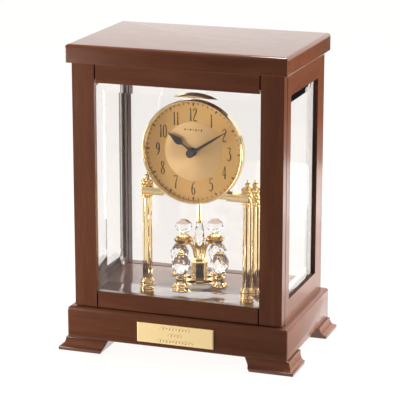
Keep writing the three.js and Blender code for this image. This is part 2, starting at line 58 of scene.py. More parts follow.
def mms(*points, out=0.0, rise=0.0):
    """Profile points in millimetres, measured from a radius and a height in metres."""
    return [(out + mm(radius), rise + mm(height)) for radius, height in points]


def low(node):
    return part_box(node)[0]


def high(node):
    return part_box(node)[1]


def centre(node):
    return (low(node) + high(node)) / 2


def size(node):
    return high(node) - low(node)


# ---------------------------------------------------------------- pieces


class Shape:
    """The vertices and faces of one piece, gathered from closed bodies."""

    def __init__(self, body=((), ()), at=Matrix()):
        self.verts = []
        self.faces = []
        self.add(body, at)

    def add(self, body, at=Matrix()):
        verts, faces = body
        first = len(self.verts)
        self.verts += [at @ Vector(v) for v in verts]
        self.faces += [[first + i for i in face] for face in faces]

    def add_beads(self, at, count, ring, height, radius, shift=0.0):
        """Beads in a ring. shift turns the ring by a share of the step between two beads."""
        for i in range(count):
            angle = TURN * (i + shift) / count
            spot = Matrix.Translation((ring * math.cos(angle), ring * math.sin(angle), height))
            self.add(ball(radius), at @ spot)


def piece(name, shape, material, body, replaces=None, smooth=35, bevel=0.0):
    """Makes an object of a shape, lets it ride on a body and hides the CAD node it stands for.

    smooth is the angle in degrees above which an edge stays crisp. At 0 the piece stays faceted.
    """
    mesh = bpy.data.meshes.new(name)
    mesh.from_pydata([tuple(v) for v in shape.verts], [], shape.faces)
    mesh.validate()
    mesh.materials.append(material)
    obj = bpy.data.objects.new(name, mesh)
    bpy.context.collection.objects.link(obj)
    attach(obj, body)
    if replaces:
        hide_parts(replaces)
    if smooth:
        mesh.polygons.foreach_set("use_smooth", [True] * len(mesh.polygons))
        mesh.set_sharp_from_angle(angle=math.radians(smooth))
    if bevel:
        soften(obj, bevel)
    return obj


def dress(node, material):
    """Gives its material to a CAD node that is shown as it is."""
    node.data.materials.clear()
    node.data.materials.append(material)


def soften(obj, width):
    """Rounds a piece's sharp edges by a real bevel."""
    modifier = obj.modifiers.new("rounded edges", "BEVEL")
    modifier.width = width
    modifier.segments = 2
    modifier.limit_method = "ANGLE"
    modifier.angle_limit = math.radians(35)


# ---------------------------------------------------------------- shapes


def arc(across, height, radius, start, end, steps):
    """Points of a circular arc in a profile: degrees, 0 points outwards and 90 upwards."""
    angles = [math.radians(start + (end - start) * i / steps) for i in range(steps + 1)]
    return [(across + radius * math.cos(a), height + radius * math.sin(a)) for a in angles]


def spline(points, steps):
    """A Catmull-Rom curve through points of any dimension."""
    padded = [points[0], *points, points[-1]]
    curve = []
    for i in range(len(points) - 1):
        for k in range(steps):
            t = k / steps
            weights = (
                -t + 2 * t**2 - t**3,
                2 - 5 * t**2 + 3 * t**3,
                t + 4 * t**2 - 3 * t**3,
                t**3 - t**2,
            )
            columns = zip(*padded[i : i + 4])
            curve.append(tuple(sum(w * p for w, p in zip(weights, c)) / 2 for c in columns))
    return [*curve, points[-1]]


def plain(radius, angle):
    return radius


def fluted(count, depth):
    """Concave flutes with crisp ridges between them."""
    return lambda radius, angle: radius - depth * abs(math.sin(count * angle / 2))


def reeded(count, depth):
    """Rounded reeds side by side, with crisp valleys."""
    return lambda radius, angle: radius - depth * (1 - abs(math.cos(count * angle / 2)))


def leafy(radius, angle):
    """Eight leaves round a saucer's rim, fading towards its middle."""
    return radius * (1 + 0.06 * math.cos(8 * angle) * min(1, radius / mm(6)))


def turned(profile, segments, section=plain, closed=False):
    """A body of revolution about z from (radius, height) points that run upwards along its outside.

    closed joins the last point to the first, for a ring. section varies the radius round the axis.
    """
    verts, rings = [], []
    for radius, height in profile:
        count = 1 if radius < 1e-7 else segments
        rings.append([len(verts) + i for i in range(count)])
        for i in range(count):
            angle = TURN * i / segments
            r = 0 if count == 1 else section(radius, angle)
            verts.append((r * math.cos(angle), r * math.sin(angle), height))
    faces = []
    for lower, upper in zip(rings, rings[1:] + (rings[:1] if closed else [])):
        for i in range(segments):
            j = (i + 1) % segments
            corners = [ring[k % len(ring)] for ring, k in ((lower, i), (lower, j), (upper, j), (upper, i))]
            # a ring on the axis is a single point, which leaves a triangle or nothing
            face = list(dict.fromkeys(corners))
            if len(face) > 2:
                faces.append(face)
    return verts, faces


def capped(profile):
    """A profile that starts and ends on the axis."""
    return [(0, profile[0][1]), *profile, (0, profile[-1][1])]


def ball(radius, segments=12):
    middle = arc(0, 0, radius, -90, 90, 8)[1:-1]
    return turned([(0, -radius), *middle, (0, radius)], segments)


def faceted(levels, around):
    """A cut crystal: flat triangles between (radius, height) levels, each turned half a step on."""
    verts, faces = [], [list(range(around))[::-1]]
    for row, (radius, height) in enumerate(levels):
        for i in range(around):
            angle = TURN * (i + 0.5 * (row % 2)) / around
            verts.append((radius * math.cos(angle), radius * math.sin(angle), height))
    for row in range(len(levels) - 1):
        below, above = row * around, (row + 1) * around
        for i in range(around):
            j = (i + 1) % around
            if row % 2:
                faces += [[below + i, above + j, above + i], [below + i, below + j, above + j]]
            else:
                faces += [[below + i, below + j, above + i], [below + j, above + j, above + i]]
    faces.append([above + i for i in range(around)])
    return verts, faces


def egg(radius, half, rows, table, foot):
    """The levels of an egg-shaped crystal. table and foot are the radii of its flat ends."""
    polars = [math.pi * row / rows for row in range(1, rows)]
    sides = [(radius * math.sin(polar), -half * math.cos(polar)) for polar in polars]
    return [(foot, -half), *sides, (table, half)]


def loft(rings):
    """A closed body through rings with the same number of points."""
    count = len(rings[0])
    last = (len(rings) - 1) * count
    faces = [list(range(count))[::-1], list(range(last, last + count))]
    for start in range(0, last, count):
        for i in range(count):
            a, b = start + i, start + (i + 1) % count
            faces.append([a, b, b + count, a + count])
    return [point for ring in rings for point in ring], faces


def rectangle(x0, x1, y0, y1, height):
    """One ring of a loft, anticlockwise."""
    return [(x0, y0, height), (x1, y0, height), (x1, y1, height), (x0, y1, height)]


def rounded_rectangle(x0, x1, y0, y1, corner, height):
    """A rectangle with rounded corners as one ring of a loft."""
    middles = rectangle(x0 + corner, x1 - corner, y0 + corner, y1 - corner, height)
    ring = []
    for (x, y, _), start in zip(middles, (180, 270, 360, 450)):
        ring += [(px, py, height) for px, py in arc(x, y, corner, start, start + 90, 4)]
    return ring


def box(lowest, highest):
    (x0, y0, z0), (x1, y1, z1) = lowest, highest
    return loft([rectangle(x0, x1, y0, y1, z) for z in (z0, z1)])


def tube(path, section, count):
    """A closed tube along (x, z) points. section(share of the way) gives its half widths."""
    path = [Vector((x, 0, z)) for x, z in path]
    angles = [TURN * i / count for i in range(count)]
    rings = []
    for k, point in enumerate(path):
        along = (path[min(k + 1, len(path) - 1)] - path[max(k - 1, 0)]).normalized()
        across = along.cross(Vector((0, 0, 1))).normalized()
        upwards = across.cross(along)
        wide, tall = section(k / (len(path) - 1))
        rings.append(
            [point + across * wide * math.cos(a) + upwards * tall * math.sin(a) for a in angles]
        )
    return loft(rings)


def prism(outline, front, back):
    """A flat body in an x-z plane, from its outline of (x, z) points, between two y's."""
    return loft([[(x, y, z) for x, z in outline] for y in (back, front)])


def stroke(points, front, back, steps):
    """A flat brush stroke in an x-z plane through (x, z, half width) points."""
    curve = spline(points, steps)
    rings = []
    for k, (x, z, half) in enumerate(curve):
        x0, z0, _ = curve[max(k - 1, 0)]
        x1, z1, _ = curve[min(k + 1, len(curve) - 1)]
        length = math.hypot(x1 - x0, z1 - z0) or 1
        dx, dz = (z1 - z0) / length * half, (x0 - x1) / length * half
        left, right = (x - dx, z - dz), (x + dx, z + dz)
        ends = ((left, front), (left, back), (right, back), (right, front))
        rings.append([(px, y, pz) for (px, pz), y in ends])
    return loft(rings)


def facing_back(x, y, z):
    """Puts a body made about the z axis at a place, with its heights running backwards."""
    return Matrix.Translation((x, y, z)) @ Matrix.Rotation(-math.pi / 2, 4, "X")


# ---------------------------------------------------------------- materials


class Nodes:
    """A material's node tree, with short calls for what is used here."""

    def __init__(self, name, slot):
        self.material = bpy.data.materials.new(name)
        self.material.use_nodes = True
        self.material["slot"] = slot
        self.tree = self.material.node_tree
        self.shader = self.tree.nodes["Principled BSDF"]

    def new(self, kind, **values):
        """A node with its sockets and settings: an underscore stands for a socket name's space."""
        node = self.tree.nodes.new(kind)
        for key, value in values.items():
            socket = node.inputs.get(key.replace("_", " "))
            if socket is None:
                setattr(node, key, value)
            else:
                socket.default_value = value
        return node

    def link(self, source, target):
        self.tree.links.new(source, target)

    def set(self, **values):
        for key, value in values.items():
            self.shader.inputs[key.replace("_", " ")].default_value = value

    def place(self, scale=(1, 1, 1)):
        """Object coordinates, scaled per axis."""
        mapping = self.new("ShaderNodeMapping", Scale=scale)
        self.link(self.new("ShaderNodeTexCoord").outputs["Object"], mapping.inputs["Vector"])
        return mapping.outputs["Vector"]

    def noise(self, vector, scale, detail, roughness=0.55, distortion=0.0):
        node = self.new(
            "ShaderNodeTexNoise",
            Scale=scale,
            Detail=detail,
            Roughness=roughness,
            Distortion=distortion,
        )
        self.link(vector, node.inputs["Vector"])
        return node.outputs["Fac"]

    def ramp(self, value, *stops):
        """A colour ramp of (place, colour) stops."""
        node = self.new("ShaderNodeValToRGB")
        elements = node.color_ramp.elements
        while len(elements) < len(stops):
            elements.new(0.5)
        for element, (place, colour) in zip(elements, stops):
            element.position = place
            element.color = (*colour, 1)
        self.link(value, node.inputs["Fac"])
        return node.outputs["Color"]

    def math(self, operation, first, second=0):
        node = self.new("ShaderNodeMath", operation=operation)
        for socket, value in zip(node.inputs, (first, second)):
            if isinstance(value, (int, float)):
                socket.default_value = value
            else:
                self.link(value, socket)
        return node.outputs[0]

    def multiply(self, factor, first, second):
        """Darkens one colour by another."""
        node = self.new("ShaderNodeMix", data_type="RGBA", blend_type="MULTIPLY")
        node.inputs[0].default_value = factor
        self.link(first, node.inputs[6])
        self.link(second, node.inputs[7])
        return node.outputs[2]

    def bump(self, height, distance, strength):
        node = self.new("ShaderNodeBump", Strength=strength, Distance=distance)
        self.link(height, node.inputs["Height"])
        self.link(node.outputs["Normal"], self.shader.inputs["Normal"])

    def vary_colour(self, value, colour, light):
        self.link(self.ramp(value, (0.3, colour), (0.7, light)), self.shader.inputs["Base Color"])

    def vary_roughness(self, value, smoothest, roughest):
        node = self.new(
            "ShaderNodeMapRange", From_Min=0.3, From_Max=0.7, To_Min=smoothest, To_Max=roughest
        )
        self.link(value, node.inputs["Value"])
        self.link(node.outputs["Result"], self.shader.inputs["Roughness"])


WOOD_DARK = (0.072, 0.0195, 0.0065)
WOOD_MID = (0.096, 0.0275, 0.0095)
WOOD_LIGHT = (0.122, 0.0380, 0.0145)


def wood(name, along, coat_roughness=0.14, depth=1.0, coat=1.0):
    """Dark walnut-stained wood under clear lacquer, with its grain along x, y or z.

    A depth below 1 darkens the colour, which paints shade. The duller the lacquer, the more its pores
    show.
    """
    nodes = Nodes(name, "lacquered_wood")
    stretch = {"x": (0.06, 1, 1), "y": (1, 0.06, 1), "z": (1, 1, 0.06)}[along]
    place = nodes.place(stretch)
    figure = nodes.noise(place, 90, 5, 0.6, 1.2)
    pores = nodes.noise(place, 1400, 3, 0.6)
    stains_and_painted_shade = [tuple(c * depth for c in stain) for stain in (WOOD_DARK, WOOD_MID, WOOD_LIGHT)]
    colour = nodes.ramp(figure, *zip((0.25, 0.5, 0.75), stains_and_painted_shade))
    darker = nodes.ramp(pores, (0.35, (0.72, 0.72, 0.72)), (0.6, (1, 1, 1)))
    nodes.link(nodes.multiply(0.6, colour, darker), nodes.shader.inputs["Base Color"])
    nodes.vary_roughness(nodes.noise(nodes.place(), 60, 2), 0.30, 0.34)
    nodes.bump(pores, mm(0.004), coat_roughness)
    nodes.set(
        Specular_IOR_Level=0.2, Coat_Weight=coat, Coat_Roughness=coat_roughness, Coat_IOR=1.45
    )
    return nodes.material


def metal(name, slot, colour, roughness, wear):
    """Polished metal: its gloss varies a little over the surface, and its colour very slightly."""
    nodes = Nodes(name, slot)
    clouds = nodes.noise(nodes.place(), 140, 3)
    nodes.vary_colour(clouds, tuple(c * 0.93 for c in colour), colour)
    nodes.vary_roughness(nodes.noise(nodes.place(), 900, 2), roughness, roughness + wear)
    nodes.set(Metallic=1.0)
    return nodes.material


def spun(name, colour, light, roughness, anisotropy, rings, metallic):
    """Gilt metal brushed in circles about the y axis through the piece's own centre."""
    nodes = Nodes(name, "dial_gold")
    parts = nodes.new("ShaderNodeSeparateXYZ")
    nodes.link(nodes.new("ShaderNodeTexCoord").outputs["Generated"], parts.inputs[0])
    across = nodes.math("SUBTRACT", parts.outputs["X"], 0.5)
    upwards = nodes.math("SUBTRACT", parts.outputs["Z"], 0.5)
    squares = [nodes.math("MULTIPLY", part, part) for part in (across, upwards)]
    line = nodes.new("ShaderNodeCombineXYZ")
    nodes.link(nodes.math("SQRT", nodes.math("ADD", *squares)), line.inputs["X"])
    lathe_marks = nodes.noise(line.outputs[0], rings, 3, 0.7)
    nodes.vary_colour(lathe_marks, colour, light)
    nodes.vary_roughness(lathe_marks, roughness, roughness + 0.06)
    tangent = nodes.new("ShaderNodeTangent", direction_type="RADIAL", axis="Y")
    nodes.link(tangent.outputs[0], nodes.shader.inputs["Tangent"])
    nodes.set(Metallic=metallic, Anisotropic=anisotropy)
    return nodes.material


def clear(name, slot, colour, ior, shadow):
    """Clear glass. Lamps shine through it, so that what it shuts in is lit."""
    nodes = Nodes(name, slot)
    nodes.set(Base_Color=(*colour, 1), Roughness=0.0, IOR=ior, Transmission_Weight=1.0)
    rays = nodes.new("ShaderNodeLightPath")
    through = nodes.new("ShaderNodeBsdfTransparent", Color=(*shadow, 1))
    blend = nodes.new("ShaderNodeMixShader")
    nodes.link(rays.outputs["Is Shadow Ray"], blend.inputs[0])
    nodes.link(nodes.shader.outputs[0], blend.inputs[1])
    nodes.link(through.outputs[0], blend.inputs[2])
    nodes.link(blend.outputs[0], nodes.tree.nodes["Material Output"].inputs["Surface"])
    return nodes.material


def paint(name, slot, colour, light, roughness, grain, bump=0.0, **extra):
    """Paint, plastic or dull metal with a slight mottle."""
    nodes = Nodes(name, slot)
    mottle = nodes.noise(nodes.place(), grain, 3)
    nodes.vary_colour(mottle, colour, light)
    nodes.vary_roughness(mottle, roughness, roughness + 0.08)
    if bump:
        nodes.bump(mottle, bump, 0.5)
    nodes.set(**extra)
    return nodes.material


wood_across = wood("wood_grain_across", "x")
wood_deep = wood("wood_grain_front_to_back", "y")
wood_upright = wood("wood_grain_upright", "z")
wood_polished = wood("wood_grain_polished", "x", 0.05)
# the rebates that hold the panes get a wood darkened nearly to black: painted shade
wood_reveal_painted_shade = wood("wood_reveal_painted_shade", "z", 0.3, 0.3, 0.3)

gilt = metal("gilt", "gilt", (0.98, 0.76, 0.42), 0.05, 0.05)
dark_gilt = metal("dark_gilt", "gilt", (0.20, 0.15, 0.10), 0.12, 0.05)
brass = metal("brass", "brass", (0.90, 0.70, 0.40), 0.16, 0.08)
nickel = metal("nickel", "nickel", (0.70, 0.68, 0.64), 0.18, 0.08)
dial_ring = spun("dial_ring", (0.49, 0.285, 0.088), (0.54, 0.315, 0.105), 0.38, 0.35, 160, 0.35)
dial_centre = spun("dial_centre", (0.57, 0.37, 0.165), (0.61, 0.40, 0.185), 0.32, 0.7, 320, 0.55)

glass = clear("bevelled_glass", "bevelled_glass", (0.955, 0.945, 0.935), 1.5, (0.94, 0.94, 0.94))
crystal = clear("crystal", "crystal", (1.0, 0.99, 0.98), 1.45, (0.9, 0.9, 0.9))
# the upper balls: a body that hardly bends light, under a crown with a warm tint
light_crystal = clear("light_crystal", "crystal", (0.995, 0.99, 0.985), 1.2, (0.9, 0.9, 0.9))
warm_crystal = clear("warm_crystal", "crystal", (0.66, 0.45, 0.32), 1.5, (0.9, 0.85, 0.8))

hand_black = paint(
    "hand_lacquer", "hand_black", (0.030, 0.021, 0.020), (0.042, 0.031, 0.030), 0.4, 700,
    Specular_IOR_Level=0.25,
)
print_black = paint(
    "dial_print", "hand_black", (0.050, 0.033, 0.018), (0.065, 0.043, 0.024), 0.7, 900,
    Specular_IOR_Level=0.1,
)
plastic = paint(
    "black_plastic", "black_plastic", (0.012, 0.012, 0.013), (0.022, 0.022, 0.024), 0.42, 2200, mm(0.02)
)
cell_sleeve = paint("cell_sleeve", "cell_sleeve", (0.03, 0.09, 0.05), (0.045, 0.12, 0.07), 0.3, 500)
plate_metal = paint(
    "plate_metal", "brass", (0.98, 0.74, 0.37), (1.0, 0.77, 0.39), 0.3, 900, Metallic=0.25
)
engraving = paint("engraving", "brass", (0.17, 0.09, 0.035), (0.24, 0.13, 0.055), 0.6, 900)


# ---------------------------------------------------------------- case


def rounded_board(node, material, round_top, round_bottom):
    """A board with rounded upper and lower edges and slightly rounded corners."""
    (x0, y0, z0), (x1, y1, z1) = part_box(node)
    foot = arc(0, 0, round_bottom, -90, 0, 4)
    brow = arc(0, 0, round_top, 0, 90, 10)
    edge = [(round_bottom - a, z0 + round_bottom + b) for a, b in foot]
    edge += [(round_top - a, z1 - round_top + b) for a, b in brow]
    rings = []
    for inset, height in edge:
        corner = max(mm(1.5) - inset, mm(0.4))
        rings.append(
            rounded_rectangle(x0 + inset, x1 - inset, y0 + inset, y1 - inset, corner, height)
        )
    piece(node + "_board", Shape(loft(rings)), material, "root", node, smooth=30)


def build_case():
    rounded_board("top_board", wood_polished, mm(3.4), mm(1.2))
    rounded_board("base_plinth", wood_across, mm(3.8), mm(0.6))
    grain = {
        "post_": wood_upright,
        "side_rail": wood_deep,
        "rear_rail": wood_across,
        "floor_board": wood_polished,
        "door_stile": wood_upright,
        "door_rail": wood_across,
    }
    for name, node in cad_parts.items():
        for start, material in grain.items():
            if name.startswith(start):
                dress(node, material)
                # painted shade on the faces in the window openings and inside the case
                if name.startswith(("post_rear", "side_rail")):
                    stain_reveals(node)
                soften(node, mm(0.35))


def stain_reveals(node):
    """The faces that look into a side window or into the case take a nearly black wood, which paints the
    shade there.
    """
    # the second material, a wood darkened nearly to black, is painted shade
    node.data.materials.append(wood_reveal_painted_shade)
    upright = node.name.startswith("post")
    inwards = -1 if upright or "top" in node.name else 1
    side = 1 if centre(node.name).x > 0 else -1
    for face in node.data.polygons:
        facing = face.normal.y if upright else face.normal.z
        if facing * inwards > 0.9 or face.normal.x * side < -0.9:
            face.material_index = 1


FOOT_LIP = mm(3.4)
FOOT_FLARE = mm(5.5)
FOOT_SLOPE = mm(6)


def build_feet():
    """Bracket feet: a lip on the floor, then a cove up to the plinth. The inner ends slope."""
    for end, deep in (("front", -1), ("rear", 1)):
        for side, across in SIDES.items():
            node = f"foot_{end}_{side}"
            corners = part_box(node)
            height = corners[1].z
            outer = (corners[across > 0].x, corners[deep > 0].y)
            # the box holds the inner end's farthest reach, at the top
            inner = (corners[across < 0].x, corners[deep < 0].y)
            levels = [(0.0, 0.0)]
            for step in range(13):
                angle = math.radians(90 * step / 12)
                z = height - (height - FOOT_LIP) * math.cos(angle)
                levels.append((FOOT_FLARE * math.sin(angle), z))
            rings = []
            for inset, z in levels:
                slope = FOOT_SLOPE * (1 - z / height)
                xs = sorted((outer[0] - across * inset, inner[0] + across * slope))
                ys = sorted((outer[1] - deep * inset, inner[1] + deep * slope))
                rings.append(rectangle(*xs, *ys, z))
            shape = Shape(loft(rings))
            piece(node + "_block", shape, wood_across, "root", node, smooth=32, bevel=mm(0.5))


# ---------------------------------------------------------------- glass, clips and hinges


def build_glass_and_metalwork():
    for name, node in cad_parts.items():
        if "glass" in name and "clip" not in name:
            dress(node, glass)
        if name.startswith("glass_clip"):
            dress(node, nickel)
            soften(node, mm(0.2))
            build_screw(name)
        if name.startswith("hinge_leaf"):
            dress(node, brass)
            soften(node, mm(0.12))


def build_screw(clip):
    """A round-head screw through the clip's leg, which lies on the wall's inner face."""
    inwards = 1 if clip.startswith("glass_clip_left") else -1
    face = high(clip).x if inwards > 0 else low(clip).x
    place = Matrix.Translation((face, centre(clip).y, low(clip).z + mm(3.2)))
    turn = Matrix.Rotation(inwards * math.pi / 2, 4, "Y")
    dome = [math.radians(degrees) for degrees in range(12, 90, 13)]
    radius, tall = 3.0, 1.9
    rim = [(radius * math.cos(a), tall * math.sin(a)) for a in dome]
    head = turned(mms((0, 0), (radius, 0), *rim, (0, tall)), 24)
    piece(clip + "_screw", Shape(head, place @ turn), nickel, "root")


# ---------------------------------------------------------------- plate

# (height above the middle, half length, number of loops) of each row, in millimetres
SCROLL_ROWS = ((6.2, 14.5, 9), (0, 6.5, 4), (-6.2, 17.5, 11))


def build_plate():
    """A bright plate with bevelled edges, engraved with three rows of plain scrollwork."""
    (x0, y0, z0), (x1, y1, z1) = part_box("engraved_plate")
    rings = []
    for inset, y in ((0, y1), (0, y0 + mm(0.5)), (mm(0.7), y0)):
        ring = rectangle(x0 + inset, x1 - inset, z0 + inset, z1 - inset, y)
        rings.append([(x, y, z) for x, z, y in ring[::-1]])
    face = Shape(loft(rings))
    piece("engraved_plate_face", face, plate_metal, "root", "engraved_plate", 0, mm(0.12))

    rows = Shape()
    middle = centre("engraved_plate")
    for lift, reach, loops in SCROLL_ROWS:
        points = []
        for k in range(loops * 10 + 1):
            turn = TURN * k / 10
            share = k / (loops * 10)
            rise = 1.25 + 0.5 * math.sin(2.3 * share * loops)
            up = -rise * math.cos(turn)
            x = reach * (2 * share - 1) - 0.9 * math.sin(turn) + 0.4 * up
            half = 0.13 + 0.05 * math.cos(turn + 0.6)
            points.append((middle.x + mm(x), middle.z + mm(lift + up), mm(half)))
        rows.add(stroke(points, y0 - mm(0.03), y0 + mm(0.05), 2))
    piece("plate_scrollwork", rows, engraving, "root", smooth=0)


# ---------------------------------------------------------------- stand


def build_columns():
    """Fluted columns on turned bases, with capitals of beads."""
    base = mms(
        (6.9, 0),
        *arc(6.1, 0.9, 0.9, -60, 75, 6),
        (6.2, 2.0),
        *arc(5.6, 3.3, 1.45, -65, 65, 8),
        (5.5, 4.9),
        *arc(5.0, 5.8, 0.7, -60, 70, 5),
        (4.9, 6.8),
    )
    shaft = mms(*((4.75, 6.6 + 6.8 * k) for k in range(13)))
    neck = mms((4.9, 87.8), *arc(4.9, 88.6, 0.7, -70, 70, 5), (4.6, 89.6), (4.6, 101.6), (3.6, 103.0))
    for side in SIDES:
        node = f"column_{side}"
        place = centre(node)
        at = Matrix.Translation((place.x, place.y, low(node).z))
        capital = [*neck, (mm(2.6), size(node).z)]
        shape = Shape(turned(capped(base), 48), at)
        shape.add(turned(capped(shaft), 96, fluted(12, mm(0.42))), at)
        shape.add(turned(capped(capital), 48), at)
        for row, ring in enumerate((5.0, 5.0, 5.0, 5.0, 5.3)):
            shape.add_beads(at, 11, mm(ring), mm(91.0 + 3.0 * row), mm(1.45), 0.5 * (row % 2))
        piece(f"{node}_turned", shape, gilt, "root", node, smooth=30)


def build_finials():
    """Ball finials, each in a ring of beads."""
    vase = [(2.3, 0), (1.3, 0.7), (1.2, 1.2), (2.2, 2.0), (2.9, 3.9), (2.2, 5.8), (0.8, 6.7), (1.1, 7.6)]
    for side in SIDES:
        node = f"finial_{side}"
        column = centre(f"column_{side}")
        at = Matrix.Translation((column.x, column.y, low(node).z))
        profile = spline([*mms(*vase), (mm(0.6), size(node).z)], 4)
        shape = Shape(turned(capped(profile), 32), at)
        shape.add_beads(at, 5, mm(4.3), mm(0.2), mm(1.2), 0.25)
        piece(f"{node}_turned", shape, gilt, "root", node)


BAR_MIDDLE = mm(-10.2)
BAR_PLATE_BACK = mm(-13.6)
BAR_CLEAR_OF_HEAD = mm(32)
BAR_END = mm(44.2)


def build_bar():
    """The cross bar: behind the head a plain bar; beyond it, deeper, with a moulded front face.

    A thin end of that face crosses the front of each capital.
    """
    (_, y0, z0), (x1, y1, z1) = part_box("cross_bar")
    middle, half = (z0 + z1) / 2, (z1 - z0) / 2
    # (depth, height above the middle) down the front face's upper half
    section = [
        (BAR_PLATE_BACK, half),
        (y0 + mm(0.15), half),
        (y0, half - mm(0.3)),
        (y0, half - mm(1.2)),
        (y0 + mm(0.5), half - mm(1.5)),
        (y0 + mm(0.15), half - mm(2.0)),
        (y0 + mm(0.1), 0),
    ]
    section += [(y, -up) for y, up in section[-2::-1]]
    shape = Shape(box((-BAR_END, BAR_MIDDLE, z0), (BAR_END, y1, z1)))
    for side in SIDES.values():
        near, far = sorted((side * BAR_CLEAR_OF_HEAD, side * BAR_END))
        shape.add(box((near, y0 + mm(0.6), z0), (far, BAR_MIDDLE, z1)))
        face = sorted((side * BAR_CLEAR_OF_HEAD, side * x1))
        shape.add(loft([[(x, y, middle + up) for y, up in section[::-1]] for x in face]))
    piece("cross_bar_moulding", shape, gilt, "root", "cross_bar", smooth=25)


# ---------------------------------------------------------------- dial head

AXIS = centre("dial")
NUMERAL_RADIUS = mm(35.6)
NUMERAL_HEIGHT = mm(12.6)
TWO_DIGITS_CLOSER = 0.98
DIGIT_GAP = 10

# The width of each digit, then its strokes of (across, up, half width), in hundredths of its height
DIGITS = {
    "0": (30, [
        [(15, 100, 2.2), (5.5, 86, 4.2), (3, 50, 5), (5.5, 14, 4.2), (15, 0, 2.2)],
        [(15, 100, 2.2), (24.5, 86, 4.2), (27, 50, 5), (24.5, 14, 4.2), (15, 0, 2.2)],
    ]),
    "1": (17, [
        [(10, 98, 3), (10.5, 60, 4.2), (10.5, 0, 6.2)],
        [(0, 87, 1.2), (5, 90, 2.2), (11, 98, 3)],
    ]),
    "2": (34, [
        [(7, 78, 4.5), (5, 86, 3), (10, 96, 2.2), (19, 100, 2.6), (27, 92, 4.5),
         (27, 76, 5.2), (20, 55, 4.5), (11, 32, 3.4), (5, 6, 3)],
        [(4, 3, 3.6), (16, 5.5, 3.4), (26, 2.5, 3.6), (33, 11, 1.4)],
    ]),
    "3": (32, [
        [(4, 97, 2.6), (16, 96.5, 3), (29, 98, 2.2)],
        [(28, 97, 1.6), (22, 78, 2.4), (17, 60, 2.6)],
        [(16, 60, 2.4), (25, 50, 4), (29, 32, 5.2), (25, 10, 4.2), (15, 1, 2.4),
         (6, 5, 3), (5, 13, 4.5)],
    ]),
    "4": (34, [
        [(22, 100, 1.2), (15, 70, 2), (4, 30, 2.2)],
        [(3, 29, 2.2), (18, 28, 2.6), (34, 31, 2)],
        [(23.5, 99, 3), (23.5, 50, 4.2), (23.5, 0, 5.2)],
    ]),
    "5": (32, [
        [(8, 96, 3), (17, 96.5, 3), (30, 99, 2)],
        [(7, 97, 2.2), (6.5, 78, 2.4), (6, 60, 2.4)],
        [(6, 58, 2), (15, 64, 2.6), (25, 55, 4.2), (28, 33, 5.2), (24, 10, 4.2),
         (14, 1, 2.4), (5.5, 5, 3), (4.5, 13, 4.2)],
    ]),
    "6": (32, [
        [(27, 97, 2.2), (17, 90, 2.8), (8, 68, 4.2), (5, 35, 5.2), (8, 10, 4.2), (16, 0, 2.2),
         (25, 10, 4), (27.5, 28, 4.8), (24, 46, 3.6), (16, 53, 2), (8, 44, 2)],
    ]),
    "7": (32, [
        [(2, 90, 3.5), (5, 97.5, 2.6), (17, 95.5, 3.4), (31, 98.5, 2.2)],
        [(30, 97, 1.4), (24, 72, 2.6), (17, 38, 4.2), (15, 0, 5.8)],
    ]),
    "8": (32, [
        [(16, 100, 2), (8, 92, 3.6), (6, 78, 4.2), (11, 63, 3.6), (21, 45, 4.2),
         (28, 26, 4.8), (25, 7, 3.6), (16, 0, 2)],
        [(16, 100, 2), (24, 92, 3.4), (26, 78, 3.6), (20, 62, 2.6), (11, 45, 3.2),
         (4.5, 26, 4.6), (7.5, 7, 3.6), (16, 0, 2)],
    ]),
    "9": (32, [
        [(5, 3, 2.2), (15, 10, 2.8), (24, 32, 4.2), (27, 65, 5.2), (24, 90, 4.2), (16, 100, 2.2),
         (7, 90, 4), (4.5, 72, 4.8), (8, 54, 3.6), (16, 47, 2), (24, 56, 2)],
    ]),
}


def add_number(shape, text, x, z, front, back):
    """Adds the strokes of one number, centred at x, z. Later strokes lie a hair further forward."""
    unit = NUMERAL_HEIGHT / 100
    width = sum(DIGITS[d][0] for d in text) + DIGIT_GAP * (len(text) - 1)
    left = x - width * unit / 2
    for digit in text:
        advance, strokes = DIGITS[digit]
        for layer, points in enumerate(strokes):
            placed = [
                (left + a * unit, z + (b - 50) * unit, (0.9 * half + 0.5) * unit)
                for a, b, half in points
            ]
            shape.add(stroke(placed, front - mm(0.006) * layer, back, 6))
        left += (advance + DIGIT_GAP) * unit


